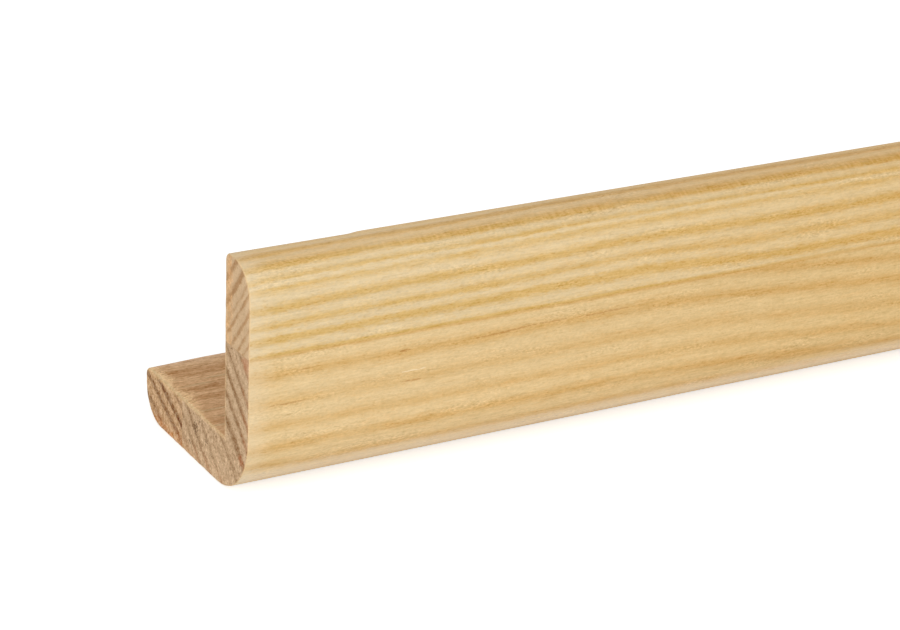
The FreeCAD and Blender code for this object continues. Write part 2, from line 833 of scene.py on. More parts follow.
    # What the patterns add to a share, a tone or a height
    FACE_LATEWOOD = Recipe(late=1.0, streaks=0.25, speckle=0.3, mottle=0.2)
    FACE_TONE = Recipe(clouds=0.05, streaks=0.08)
    FACE_SPECKS = Recipe(fibre=0.115, mottle=0.09)
    FACE_RELIEF = Recipe(late=0.01, fibre=0.014, speckle=0.016)
    WALL_BANDS = Recipe(late=0.75, bands=0.6)
    WALL_TONE = Recipe(bands=0.12, wall_streaks=0.42, mottle=0.3, fibre=0.2, speckle=0.4, pores=-0.12)
    FRAYED_TONE = Recipe(ragged=0.95, speckle=0.8)
    END_LINES = Recipe(end_late=1.0, torn=0.4, coarse=0.25, thin=0.5)
    END_SPECKS = Recipe(torn=0.5, fine=0.34, clumps=0.16)
    END_TONE = Recipe(coarse=0.12, thin=0.14)
    END_PITS = Recipe(torn=1.0, fine=0.7)
    END_RELIEF = Recipe(late=0.02, torn=0.1)

    ROUGHNESS = 0.66
    SMOOTHER_LATEWOOD = 0.1
    ROUGHER_END = 0.25
    SPECULAR_LEVEL = 0.25

    def __init__(self, finish: PineFinish, section: Section) -> None:
        """Lays the patterns that the recipes name.

        Args:
            finish: The wood.
            section: The stock's sizes.
        """
        self.finish = finish
        self.tones = finish.tones
        self.joint_mm = section.joint_distance / MM
        self.wall_mm = section.leg_thickness / MM
        self.sheet = NodeSheet(finish.name)
        self.wood = WoodPlace(self.sheet, section)
        self.late, self.end_late, self.ring_place = finish.rings.signal(self.sheet, self.wood)
        self.on_end = self.wood.end_facing.rise(*self.END_FACING)
        self.outermost = self.wood.across.at_least(self.wood.up)
        self.fibre = self.pattern(*self.FIBRE)
        self.speckle = self.pattern(*self.SPECKLE)
        self.mottle = self.pattern(*self.MOTTLE)
        self.torn = self.pattern(*self.TORN)
        self.pores = self.pattern(*self.PORES).rise(*self.PORE_LEVELS)
        self.clouds = self.pattern(*self.CLOUDS)
        self.streaks = self.layers(*self.STREAKS)
        self.bands = self.pattern(*self.BANDS)
        self.wall_streaks = self.pattern(*self.WALL_STREAKS)
        self.ragged = self.pattern(*self.RAGGED)
        self.coarse = self.pattern(*self.COARSE)
        self.fine = self.pattern(*self.FINE)
        self.clumps = self.pattern(*self.CLUMPS)
        self.thin = self.layers(*self.THIN)

    def layers(self, along_mm: float, sideways_mm: float, depth_mm: float) -> Signal:
        """A pattern laid in thin layers that follow the growth rings, mostly from -0.5 to 0.5.

        Args:
            along_mm: Its size along the stock.
            sideways_mm: Its size along the rings.
            depth_mm: Its size across the rings.

        Returns:
            The pattern.
        """
        shift = (self.finish.seed, along_mm, 0.0)
        grain = Grain((along_mm, sideways_mm, depth_mm), *self.LAYER_DETAIL, shift)
        return self.sheet.noise(self.ring_place, grain)

    def pattern(
        self, along_mm: float, across_mm: float, detail: float = 2.0, roughness: float = 0.5
    ) -> Signal:
        """A cloudy pattern of this wood's own.

        Args:
            along_mm: Its size along the stock.
            across_mm: Its size in the section.
            detail: How many finer layers it has.
            roughness: How strong they are.

        Returns:
            The pattern, mostly from -0.5 to 0.5.
        """
        shift = (self.finish.seed, self.finish.seed * self.SEED_SHIFT, along_mm)
        grain = Grain((along_mm, across_mm, across_mm), detail, roughness, shift)
        return self.sheet.noise(self.wood.place, grain)

    def sum_of(self, recipe: Recipe, start: Amount = 0.0) -> Signal:
        """Adds up patterns.

        Args:
            recipe: How much of each goes in.
            start: What they are added to.

        Returns:
            The sum.
        """
        for name, amount in vars(recipe).items():
            if amount:
                start = getattr(self, name) * amount + start
        return start

    def tinted(self, share: Signal, colour: Tint, tint: Colour) -> bpy.types.NodeSocket:
        """Multiplies a colour by a tint where the share is 1."""
        return self.sheet.mix(share, colour, self.sheet.blend("MULTIPLY", colour, tint))

    def material(self) -> bpy.types.Material:
        """Joins colour, roughness and relief.

        Returns:
            The finished material.
        """
        sheet, wood, tones = self.sheet, self.wood, self.tones
        colour = sheet.mix(wood.wall_side, self.face_colour(), self.wall_colour())
        colour = sheet.mix(self.on_end, colour, self.end_colour())
        # Painted highlight on the eased end edges, speckled with torn fibre
        arris_highlight = sheet.shade(tones.arris_highlight, self.torn * self.ARRIS_TORN)
        colour = sheet.mix(self.arris_highlight_share(), colour, arris_highlight)
        colour = sheet.mix(self.glue_share(), colour, tones.glue)
        roughness = self.ROUGHNESS - self.late * self.SMOOTHER_LATEWOOD + self.on_end * self.ROUGHER_END
        shader = sheet.add("ShaderNodeBsdfPrincipled")
        sheet.feed(shader.inputs["Base Color"], colour)
        sheet.feed(shader.inputs["Roughness"], roughness)
        shader.inputs["Specular IOR Level"].default_value = self.SPECULAR_LEVEL
        sheet.feed(shader.inputs["Normal"], self.relief())
        output = sheet.add("ShaderNodeOutputMaterial")
        sheet.feed(output.inputs["Surface"], shader.outputs[0])
        return sheet.material

    def face_colour(self) -> bpy.types.NodeSocket:
        """Colours the planed outer faces.

        Returns:
            Their colour.
        """
        sheet, wood, tones = self.sheet, self.wood, self.tones
        from_joint = self.joint_distance() + self.mottle * self.JOINT_RAGGED
        late = self.sum_of(self.FACE_LATEWOOD, from_joint.rise(*self.JOINT_STRIPE_MM))
        colour = sheet.mix(late, tones.earlywood, tones.latewood)
        # Painted shade: the faces grow darker and warmer away from the near end, for light that falls off
        # along the stock; the clouds add a warmer tone at random
        falloff_shade_and_clouds = wood.along.rise(*self.FALLOFF_SHADE_MM) + self.clouds.rise(*self.CLOUD_LEVELS)
        colour = self.tinted(falloff_shade_and_clouds, colour, tones.blush_and_falloff_shade)
        outermost = self.outermost + self.mottle * self.TIP_RAGGED
        colour = self.tinted(outermost.rise(*self.TIP_MM), colour, tones.tip)
        # Painted light: the flat top of the upright's tip is lightened, as light from above would light it
        colour = sheet.shade(colour, self.outermost.rise(*self.TIP_TOP_PAINTED_LIGHT_MM))
        # Painted light: the outer corner's lower rounding is paled towards a grey tone, for light bounced
        # up from the floor
        colour = sheet.mix(outermost.rise(*self.FLOOR_BOUNCE_LIGHT_MM), colour, tones.base)
        colour = self.tinted(self.pattern(*self.RUDDY).rise(*self.RUDDY_LEVELS), colour, tones.ruddy)
        tone = self.sum_of(self.FACE_TONE, self.chatter(outermost)) - late.rise(*self.DARKEST_LEVELS)
        dotted = self.pattern(*self.DOTTED).rise(*self.DOTTED_LEVELS) + self.SPECKLE_LEAST
        specks = self.sum_of(self.FACE_SPECKS, self.speckle * dotted)
        colour = sheet.shade(colour, tone + specks * self.finish.face_speckle)
        fresh = (wood.from_end + self.torn * self.FRESH_RAGGED).rise(*self.FRESH_CUT_MM)
        colour = sheet.mix(fresh, colour, tones.fresh_cut)
        pores = self.pores * (self.late * self.PORES_IN_LATEWOOD + self.PORES_LEAST)
        colour = self.tinted(pores * self.finish.face_speckle, colour, tones.pore)
        return self.with_flecks(colour)

    def chatter(self, outermost: Signal) -> Signal:
        """Fine marks across the grain that the planer left on the upright's rounded tip.

        Args:
            outermost: Ragged distance from the outer corner, across or up.

        Returns:
            How much lighter or darker they are.
        """
        marks = self.pattern(*self.CHATTER) * (self.late * self.CHATTER_IN_LATEWOOD + self.CHATTER_LEAST)
        along = self.wood.along.rise(*self.CHATTER_ALONG_MM)
        round_tip = outermost.rise(*self.CHATTER_UP_MM) * self.outermost.rise(*self.CHATTER_TOP_MM)
        return marks * along * round_tip

    def with_flecks(self, colour: bpy.types.NodeSocket) -> bpy.types.NodeSocket:
        """Draws the flecks on the upright's outer face.

        Args:
            colour: The face's colour.

        Returns:
            The colour with the flecks.
        """
        sheet, wood, tones = self.sheet, self.wood, self.tones
        broken = self.pattern(*self.BROKEN_FLECKS)
        near_face = wood.across.rise(*self.UPRIGHT_FACE_MM)
        for fleck in self.finish.flecks:
            lengthwise = wood.along - fleck.along
            upwards = wood.up - fleck.up - lengthwise * fleck.slope + broken * self.FLECK_RAGGED
            lengthwise = lengthwise * (2 / fleck.length)
            upwards = upwards * (2 / fleck.width)
            reach = lengthwise * lengthwise + upwards * upwards + broken * self.FLECK_BROKEN
            share = reach.rise(*self.FLECK_LEVELS) * near_face * fleck.strength
            colour = sheet.mix(share, colour, tones.torn_fibre if fleck.pale else tones.resin)
        return colour

    def wall_colour(self) -> bpy.types.NodeSocket:
        """Colours the wall side, which is browner and duller.

        Returns:
            Its colour.
        """
        sheet, tones = self.sheet, self.tones
        banded = self.sum_of(self.WALL_BANDS, self.WALL_BAND_LEAST)
        colour = sheet.mix(banded, tones.wall, tones.wall_band)
        rim = (self.outermost + self.mottle * self.RIM_RAGGED).rise(*self.WALL_RIM_MM)
        colour = sheet.mix(rim, colour, tones.wall_rim)
        # Paler grey-olive streaks over the wall side
        grey_olive_streaks = self.pattern(*self.GREY_OLIVE_STREAKS).rise(*self.GREY_OLIVE_LEVELS)
        colour = sheet.mix(grey_olive_streaks, colour, tones.grey_olive_streaks)
        return self.with_frayed_edge(sheet.shade(colour, self.sum_of(self.WALL_TONE)))

    def with_frayed_edge(self, colour: bpy.types.NodeSocket) -> bpy.types.NodeSocket:
        """Draws a pale band of torn fibres along the sawn ends, partly painted highlight where raised
        fibres catch light.

        Args:
            colour: The wall side's colour.

        Returns:
            The colour with the band.
        """
        from_end = self.wood.from_end
        width = self.outermost.rise(*self.FRAYED_WIDER_MM) + self.FRAYED_WIDTH_LEAST_MM
        reach = from_end + self.ragged * (width * self.FRAYED_RAGGED_WIDTHS + self.FRAYED_RAGGED)
        reach = reach + self.pattern(*self.FRAYED_REACH) * width - width
        # Painted highlight: the torn fibres lighten towards the very end, where they stand up and catch
        # light
        fibre_highlight = from_end.rise(*self.FRAYED_HIGHLIGHT_MM)
        frayed = self.sheet.shade(self.tones.frayed, self.sum_of(self.FRAYED_TONE, fibre_highlight))
        gaps = self.pattern(*self.FRAYED_GAPS).rise(*self.FRAYED_GAP_LEVELS) + self.FRAYED_LEAST
        return self.sheet.mix(reach.rise(*self.FRAYED_EDGE_MM) * gaps, colour, frayed)

    def end_colour(self) -> bpy.types.NodeSocket:
        """Colours the sawn ends, where thin latewood lines cross torn, speckled earlywood.

        Returns:
            Their colour.
        """
        sheet, tones, wood = self.sheet, self.tones, self.wood
        from_outer = wood.across.at_most(wood.up)
        reddened = (from_outer + self.torn).rise(*self.END_RED_MM)
        latewood = sheet.mix(reddened, tones.end_latewood, tones.end_reddish)
        lines = self.sum_of(self.END_LINES).rise(*self.END_LINE_LEVELS)
        colour = sheet.mix(lines, tones.end_earlywood, latewood)
        stain = sheet.shade(tones.end_edge, self.torn * self.STAIN_TORN)
        colour = sheet.mix(self.stain_share(), colour, stain)
        colour = sheet.mix(self.inner_edge_share(), colour, tones.frayed)
        foot = wood.across.rise(*self.FOOT_PALE_ACROSS_MM) * wood.up.rise(*self.FOOT_PALE_UP_MM)
        tone = self.sum_of(self.END_TONE, from_outer.rise(*self.END_PALE_MM) + foot)
        rougher = (wood.up.rise(*self.FOOT_ROUGH_UP_MM) + 1.0) * self.finish.end_speckle
        colour = sheet.shade(colour, tone + self.sum_of(self.END_SPECKS) * rougher)
        return self.with_pits(self.with_blots(colour))

    def with_blots(self, colour: bpy.types.NodeSocket) -> bpy.types.NodeSocket:
        """Draws the reddish blots on the sawn ends.

        Args:
            colour: The ends' colour.

        Returns:
            The colour with the blots.
        """
        for across, up, radius in self.finish.end_blots:
            reach = self.squared_distance(across, up) + self.torn * radius
            share = reach.rise(radius * radius, 0.0, self.BLOT_STRENGTH)
            colour = self.sheet.mix(share, colour, self.tones.end_blot)
        return colour

    def with_pits(self, colour: bpy.types.NodeSocket) -> bpy.types.NodeSocket:
        """Draws the dark pits that the saw tore into the ends.

        Args:
            colour: The ends' colour.

        Returns:
            The colour with the pits.
        """
        depth = self.sum_of(self.END_PITS)
        for across, up in self.finish.end_pits:
            depth = depth - self.squared_distance(across, up).rise(*self.PIT_REACH_LEVELS)
        pits = depth.rise(*self.PIT_LEVELS) * self.finish.end_speckle
        return self.sheet.mix(pits, colour, self.tones.pit)

    def squared_distance(self, across: float, up: float) -> Signal:
        """Square of the distance from a point of the section, in square millimetres."""
        aside, above = self.wood.across - across, self.wood.up - up
        return aside * aside + above * above

    def stain_share(self) -> Signal:
        """How far the end's edge band covers a point.

        Returns:
            The share from 0 to 1.
        """
        stain, wood = self.finish.end_stain, self.wood
        inward, length = (wood.across, wood.up) if stain.upright else (wood.up, wood.across)
        blotch = self.pattern(*self.STAIN_BLOTCHES) + self.torn * self.STAIN_RAGGED
        covered = (inward + self.torn * stain.ragged_mm).rise(*stain.full) * length.rise(*stain.faint)
        return covered * (blotch.rise(*self.STAIN_LEVELS) + self.STAIN_LEAST) * stain.amount

    def inner_edge_share(self) -> Signal:
        """How far the pale frayed edge along the wall side covers the end, most on the flat leg's tip.

        Returns:
            The share from 0 to 1.
        """
        wood = self.wood
        depth = self.wall_mm - wood.across.at_most(wood.up)
        thin = (depth + self.torn * self.THIN_EDGE_RAGGED).rise(*self.THIN_EDGE_MM)
        wide = (depth + self.torn * self.WIDE_EDGE_RAGGED).rise(*self.WIDE_EDGE_MM)
        return thin.at_least(wide * wood.across.rise(*self.WIDE_EDGE_ACROSS_MM))

    def arris_highlight_share(self) -> Signal:
        """How far the pale eased edge round each sawn end covers a point, as painted highlight."""
        facing = self.wood.end_facing + self.torn * self.ARRIS_RAGGED
        return facing.rise(*self.ARRIS_FACING) * facing.rise(*self.ARRIS_FACING_GONE)

    def glue_share(self) -> Signal:
        """How far a glue joint colours a point: a thin line, broken on the planed faces."""
        broken = self.pattern(*self.BROKEN_GLUE).rise(*self.GLUE_LEVELS)
        return self.joint_distance().rise(*self.GLUE_LINE_MM) * (self.on_end * self.GLUE_ON_END + broken)

    def joint_distance(self) -> Signal:
        """How far the nearest glue joint is, in millimetres."""
        wood, joint = self.wood, self.joint_mm
        return (wood.across - joint).absolute().at_most((wood.up - joint).absolute())

    def relief(self) -> bpy.types.NodeSocket:
        """Raises latewood and fibres a little and roughens the sawn ends.

        Returns:
            The bent normal.
        """
        face = self.sum_of(self.FACE_RELIEF)
        end = self.sum_of(self.END_RELIEF)
        node = self.sheet.add("ShaderNodeBump")
        node.inputs["Distance"].default_value = MM
        self.sheet.feed(node.inputs["Height"], face + self.on_end * (end - face))
        return node.outputs[0]


@dataclass(frozen=True)
class Stretch:
    """One stretch of a strip's outline without its last point, and the way out of the wood at each."""

    points: np.ndarray
    outward: np.ndarray
    glued: bool = False

    @classmethod
    def straight(cls, start: Point2, end: Point2, step: float, glued: bool = False) -> "Stretch":
        """Makes a straight stretch.

        Args:
            start: Its first point.
            end: The point that it leads to.
            step: The longest gap between points.
            glued: Whether it is a glued face inside the stock.

        Returns:
            The stretch.
        """
        run = np.subtract(end, start)
        count = max(1, math.ceil(np.hypot(*run) / step))
        shares = np.arange(count)[:, None] / count
        outward = np.array([run[1], -run[0]]) / np.hypot(*run)
        return cls(np.add(start, shares * run), np.tile(outward * (0 if glued else 1), (count, 1)), glued)

    @classmethod
    def rounded(cls, centre: Point2, radius: float, degrees: Point2, step: float) -> "Stretch":
        """Makes a round stretch.

        Args:
            centre: Its middle.
            radius: Its radius.
            degrees: Where it starts and ends, turning left from the way across.
            step: The longest gap between points.

        Returns:
            The stretch.
        """
        start, end = (math.radians(angle) for angle in degrees)
        count = max(3, math.ceil(radius * abs(end - start) / step))
        angles = start + (end - start) * np.arange(count) / count
        outward = np.stack([np.cos(angles), np.sin(angles)], 1)
        return cls(np.add(centre, radius * outward), outward)


class Outline:
    """The closed outline of one strip's section, going round to the left."""

    STEP = 0.26 * MM
    GLUED_STEP = 0.8 * MM

    def __init__(self, strip: Strip, section: Section) -> None:
        """Lays the outline of a strip.

        Args:
            strip: Which strip.
            section: The stock's sizes.
        """
        makers = {
            Strip.CORNER: self.corner,
            Strip.FLAT_LEG: self.flat_leg,
            Strip.UPRIGHT_LEG: self.upright_leg,
        }
        stretches = makers[strip](section)
        self.points = np.concatenate([stretch.points for stretch in stretches])
        outward = []
        for before, stretch in zip([stretches[-1], *stretches[:-1]], stretches):
            ways = stretch.outward.copy()
            if stretch.glued:
                ways[0] = before.outward[-1]
            outward.append(ways)
        self.outward = np.concatenate(outward)

    def corner(self, section: Section) -> list[Stretch]:
        """Outlines the angle-shaped strip at the outer corner.

        Args:
            section: The stock's sizes.

        Returns:
            The stretches in order.
        """
        joint, wall, radius = section.joint_distance, section.leg_thickness, section.outer_corner_radius
        return [
            Stretch.straight((radius, 0.0), (joint, 0.0), self.STEP),
            Stretch.straight((joint, 0.0), (joint, wall), self.GLUED_STEP, glued=True),
            Stretch.straight((joint, wall), (wall, wall), self.STEP),
            Stretch.straight((wall, wall), (wall, joint), self.STEP),
            Stretch.straight((wall, joint), (0.0, joint), self.GLUED_STEP, glued=True),
            Stretch.straight((0.0, joint), (0.0, radius), self.STEP),
            Stretch.rounded((radius, radius), radius, (180.0, 270.0), self.STEP),
        ]

    def flat_leg(self, section: Section) -> list[Stretch]:
        """Outlines the strip at the flat leg's tip.

        Args:
            section: The stock's sizes.

        Returns:
            The stretches in order.
        """
        joint, wall, width = section.joint_distance, section.leg_thickness, section.leg_width
        tip, arris_highlight = section.tip_radius, section.inner_arris_radius
        return [
            Stretch.straight((joint, 0.0), (width - tip, 0.0), self.STEP),
            Stretch.rounded((width - tip, tip), tip, (270.0, 360.0), self.STEP),
            Stretch.straight((width, tip), (width, wall - arris_highlight), self.STEP),
            Stretch.rounded((width - arris_highlight, wall - arris_highlight), arris_highlight, (0.0, 90.0), self.STEP / 2),
            Stretch.straight((width - arris_highlight, wall), (joint, wall), self.STEP),
            Stretch.straight((joint, wall), (joint, 0.0), self.GLUED_STEP, glued=True),
        ]

    def upright_leg(self, section: Section) -> list[Stretch]:
        """Outlines the strip at the upright leg's tip, the flat leg's with across and up exchanged.

        Args:
            section: The stock's sizes.

        Returns:
            The stretches in order.
        """
        joint, wall, width = section.joint_distance, section.leg_thickness, section.leg_width
        tip, arris_highlight = section.tip_radius, section.inner_arris_radius
        return [
            Stretch.straight((0.0, joint), (wall, joint), self.GLUED_STEP, glued=True),
            Stretch.straight((wall, joint), (wall, width - arris_highlight), self.STEP),
            Stretch.rounded((wall - arris_highlight, width - arris_highlight), arris_highlight, (0.0, 90.0), self.STEP / 2),
            Stretch.straight((wall - arris_highlight, width), (tip, width), self.STEP),
            Stretch.rounded((tip, width - tip), tip, (90.0, 180.0), self.STEP),
            Stretch.straight((0.0, width - tip), (0.0, joint), self.STEP),
        ]


def gap_inside(points: np.ndarray, border: np.ndarray) -> np.ndarray:
    """How far points lie inside a closed border.

    Args:
        points: Points as across and up, one to a row.
        border: The border's points in order.

    Returns:
        Each point's distance from the border, or 0 where it lies outside.
    """
    end = np.roll(border, -1, axis=0)
    run = end - border
    across, up = points[:, :1], points[:, 1:]
    crosses = (border[:, 1] > up) != (end[:, 1] > up)
    rise = np.where(run[:, 1] == 0, 1.0, run[:, 1])
    reach = border[:, 0] + (up - border[:, 1]) / rise * run[:, 0]
    held = (crosses & (across < reach)).sum(1) % 2 == 1
    away = points[:, None] - border
    share = np.clip((away * run).sum(2) / (run ** 2).sum(1), 0, 1)
    away = away - share[..., None] * run
    return held * np.sqrt((away ** 2).sum(2)).min(1)


@dataclass(frozen=True)
class WornArris:
    """A long edge that is worn down from the near end on, in millimetres."""

    across: float
    up: float
    depth: float
    full_to: float
    gone_at: float
    reach: float = 0.9

    def sink(self, along_mm: np.ndarray, points_mm: np.ndarray) -> np.ndarray:
        """How far the surface is worn down.

        Args:
            along_mm: Distance of each point from the near end.
            points_mm: The points as across and up, one to a row.

        Returns:
            The depth at each point.
        """
        away = np.hypot(points_mm[:, 0] - self.across, points_mm[:, 1] - self.up)
        share = 1 - smooth_share(away, 0.0, self.reach)
        return self.depth * share * (1 - smooth_share(along_mm, self.full_to, self.gone_at))


class StripMesh:
    """The mesh of one strip, with planed faces, sawn ends and eased end edges."""

    # Stations along the stock: in degrees round the end's eased edge, then in distances from the end
    ARRIS_TURNS = (0.0, 25.0, 50.0, 75.0, 90.0)
    FINE_STATIONS_MM = (
        0.7, 1.0, 1.5, 2.3, 3.2, 4.2, 5.4, 7.0, 9.0, 11.0, 12.8, 13.8, 14.3, 14.8, 15.4, 16.4, 18.0,
    )
    STATION_GAP = 2.7 * MM
    LEAN_REACH = 9.0 * MM

    # Worn and torn edges
    WORN = {
        Strip.UPRIGHT_LEG: WornArris(6.0, 27.0, 0.2, 13.9, 15.5),
        Strip.FLAT_LEG: WornArris(27.0, 6.0, 0.28, -2.0, 8.0),
    }
    ARRIS = 0.16 * MM
    ARRIS_WEAR = 0.1 * MM
    WEAR_PER_MM = 1.3
    WEAR_LAYER = 4.0
    FRAY = 0.36 * MM
    FRAY_PER_MM = 2.3
    FRAY_LAYER = 9.0
    FRAY_RISES_MM = (8.0, 19.0)
    FRAY_FALLS_MM = (24.8, 26.2)
    ON_WALL_SIDE_MM = 0.05

    # How far latewood stands out of the planed faces, and how uneven they are
    RIDGE = 0.02 * MM
    UNEVEN = 0.015 * MM
    UNEVEN_ALONG_MM = 18
    UNEVEN_ROUND_MM = 4

    # The sawn ends
    END_GRID = 0.24 * MM
    END_MARGIN = 0.12 * MM
    END_RIDGE = 0.05 * MM
    END_ROUGH = 0.06 * MM
    END_ROUGH_PER_MM = 2.2
    END_ROUGH_DETAIL = (0.8, 2.0, 3)
    END_FADE = 0.7 * MM
    SAME_POINT = 1e-9

    # Above this angle, two faces meet in a sharp edge
    SHARP_DEGREES = 38.0

    def __init__(self, strip: Strip, section: Section, rings: GrowthRings) -> None:
        """Keeps what the mesh follows.

        Args:
            strip: Which strip.
            section: The stock's sizes.
            rings: Its growth rings, which stand out a little.
        """
        self.strip = strip
        self.section = section
        self.rings = rings
        self.outline = Outline(strip, section)

    def build(self) -> bpy.types.Mesh:
        """Makes the closed mesh.

        Returns:
            The strip's mesh.
        """
        sides = self.side_points()
        stations, around = sides.shape[:2]
        vertices = [sides.reshape(-1, 3)]
        faces = self.side_faces(stations, around)
        total = stations * around
        for ring, inward in ((0, 1.0), (stations - 1, -1.0)):
            inner, triangles = self.end_face(sides[ring], inward)
            lookup = np.concatenate([ring * around + np.arange(around), total + np.arange(len(inner))])
            triangles = lookup[triangles]
            faces.extend((triangles[:, ::-1] if inward > 0 else triangles).tolist())
            vertices.append(inner)
            total += len(inner)
        mesh = bpy.data.meshes.new(self.strip.value + "_wood")
        mesh.from_pydata(np.concatenate(vertices).tolist(), [], faces)
        mesh.validate()
        mesh.shade_smooth()
        mesh.set_sharp_from_angle(angle=math.radians(self.SHARP_DEGREES))
        return mesh

    def side_points(self) -> np.ndarray:
        """Places the points of the long faces, one ring of them at each station.

        Returns:
            Stations by points round the outline by three.
        """
        half = self.section.length / 2
        ease = self.end_ease()
        turns = [math.radians(turn) for turn in self.ARRIS_TURNS]
        rows = [(ease * (1 - math.cos(turn)), ease * (1 - math.sin(turn))) for turn in turns]
        rows += [(np.full(len(ease), distance), np.zeros(len(ease))) for distance in self.inner_distances()]
        near = [(self.near_cut(distance) - half, inset) for distance, inset in rows]
        far = [(half - self.far_cut(distance), inset) for distance, inset in reversed(rows)]
        middle = far[1:] if np.allclose(near[-1][0], far[0][0]) else far
        return np.stack([self.ring_points(along, inset) for along, inset in near + middle])

    def end_ease(self) -> np.ndarray:
        """How far the end's edge is worn round at each point of the outline.

        Returns:
            The radius at each point, which is larger and uneven along the flat leg's wall side,
            where the cut tore fibres out.
        """
        across, up = self.outline.points.T / MM
        worn, torn = (
            np.array([noise.noise(Vector((*(point * scale), layer))) for point in self.outline.points / MM])
            for scale, layer in ((self.WEAR_PER_MM, self.WEAR_LAYER), (self.FRAY_PER_MM, self.FRAY_LAYER))
        )
        wall_side = abs(up - self.section.leg_thickness / MM) < self.ON_WALL_SIDE_MM
        frayed = smooth_share(across, *self.FRAY_RISES_MM) * (1 - smooth_share(across, *self.FRAY_FALLS_MM))
        frayed = frayed * wall_side * self.outline.outward[:, 1]
        return self.ARRIS + self.ARRIS_WEAR * worn + self.FRAY * frayed * np.clip(0.5 + torn, 0, 1)

    def near_cut(self, distance: np.ndarray) -> np.ndarray:
        """Leans a station's points with the near saw cut, less and less further from it."""
        share = 1 - smooth_share(distance, 0.0, self.LEAN_REACH)
        return distance + self.section.near_cut_lean * self.outline.points[:, 1] * share

    def far_cut(self, distance: np.ndarray) -> np.ndarray:
        """Leans a station's points with the far saw cut, less and less further from it."""
        share = 1 - smooth_share(distance, 0.0, self.LEAN_REACH)
        return distance + self.section.far_cut_lean * self.outline.points[:, 0] * share

    def inner_distances(self) -> list[float]:
        """Spaces the stations past the end's eased edge, up to the middle.

        Returns:
            Their distances from the end.
        """
        fine = [distance * MM for distance in self.FINE_STATIONS_MM]
        rest = self.section.length / 2 - fine[-1]
        count = math.ceil(rest / self.STATION_GAP)
        return [*fine, *(fine[-1] + rest * number / count for number in range(1, count + 1))]

    def ring_points(self, along: np.ndarray, inset: np.ndarray) -> np.ndarray:
        """Places the points of one station.

        Args:
            along: X of each point.
            inset: How far each point is drawn into the wood.

        Returns:
            The points.
        """
        section, outline = self.section, self.outline
        across, up = outline.points.T
        along_mm = (along + section.length / 2) / MM
        late = self.rings.latewood(along_mm, across / MM, up / MM)
        x_mm = float(along.mean()) / MM
        uneven = np.array([
            noise.noise(Vector((x_mm / self.UNEVEN_ALONG_MM, *(point / MM / self.UNEVEN_ROUND_MM))))
            for point in outline.points
        ])
        sunk = inset + self.RIDGE * (1 - np.clip(late, 0, 1)) + self.UNEVEN * (1 + uneven)
        if self.strip in self.WORN:
            sunk = sunk + self.WORN[self.strip].sink(along_mm, outline.points / MM) * MM
        moved = outline.points - outline.outward * sunk[:, None]
        return np.stack([along, moved[:, 0] - section.leg_width / 2, moved[:, 1]], 1)

    def side_faces(self, stations: int, around: int) -> list[list[int]]:
        """Joins the stations with four-sided faces.

        Args:
            stations: How many rings of points there are.
            around: How many points each has.

        Returns:
            The corners of each face.
        """
        here = np.arange(around)
        following = np.roll(here, -1)
        starts = np.arange(stations - 1)[:, None] * around
        corners = [starts + here, starts + following, starts + around + following, starts + around + here]
        return np.stack(corners, 2).reshape(-1, 4).tolist()

    def end_face(self, rim: np.ndarray, inward: float) -> tuple[np.ndarray, np.ndarray]:
        """Fills an end with a fine, rough surface.

        Args:
            rim: The points round it.
            inward: 1 where the wood lies on the +X side of the face, -1 where on the other.

        Returns:
            The points inside the rim and the triangles, which count the rim's points first.
        """
        section, outline = self.section, self.outline
        low, high = outline.points.min(0), outline.points.max(0)
        ticks = [np.arange(start, stop, self.END_GRID) for start, stop in zip(low, high)]
        grid = np.stack(np.meshgrid(*ticks), 2).reshape(-1, 2)
        gap = gap_inside(grid, rim[:, 1:] + (section.leg_width / 2, 0.0))
        clear = gap > self.END_MARGIN
        grid, gap = grid[clear], gap[clear]
        x_mm = (float(rim[:, 0].mean()) + section.length / 2) / MM
        late = self.rings.latewood(np.full(len(grid), x_mm), *(grid / MM).T)
        rough = np.array([
            noise.fractal(Vector((*(point / MM * self.END_ROUGH_PER_MM), x_mm)), *self.END_ROUGH_DETAIL)
            for point in grid
        ])
        fade = np.clip(gap / self.END_FADE, 0, 1)
        sunk = fade * (self.END_RIDGE * (1 - late) + self.END_ROUGH * (0.5 + 0.5 * np.clip(rough, -1, 1)))
        lean = grid[:, 1] * section.near_cut_lean if inward > 0 else grid[:, 0] * section.far_cut_lean
        cut = inward * (lean + sunk - section.length / 2)
        inside = np.stack([cut, grid[:, 0] - section.leg_width / 2, grid[:, 1]], 1)
        flat = [Vector(point) for point in np.concatenate([rim[:, 1:], inside[:, 1:]])]
        filled = geometry.delaunay_2d_cdt(flat, [], [list(range(len(rim)))], 1, self.SAME_POINT)
        _, _, triangles, origins, *_ = filled
        source = np.array([numbers[0] for numbers in origins])
        return inside, source[np.array(triangles)]


class GluedStrip:
    """One strip of the stock: its mesh, its wood and its place in the model."""

    def __init__(self, strip: Strip, section: Section, finish: PineFinish) -> None:
        """Keeps what the strip is made from.

        Args:
            strip: Which strip.
            section: The stock's sizes.
            finish: Its wood.
        """
        self.strip = strip
        self.section = section
        self.finish = finish
        self.piece: Optional[bpy.types.Object] = None

    def build(self) -> None:
        """Makes the strip's object."""
        mesh = StripMesh(self.strip, self.section, self.finish.rings).build()
        self.piece = bpy.data.objects.new(self.strip.value + "_wood", mesh)
        bpy.context.scene.collection.objects.link(self.piece)

    def dress(self, slot: str) -> None:
        """Gives the strip its wood and lets it stand for its CAD node.

        Args:
            slot: The record's material slot, which is not used.
        """
        self.piece.data.materials.append(self.finish.build(self.section))
        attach(self.piece, BODY)
        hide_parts(self.strip.value)


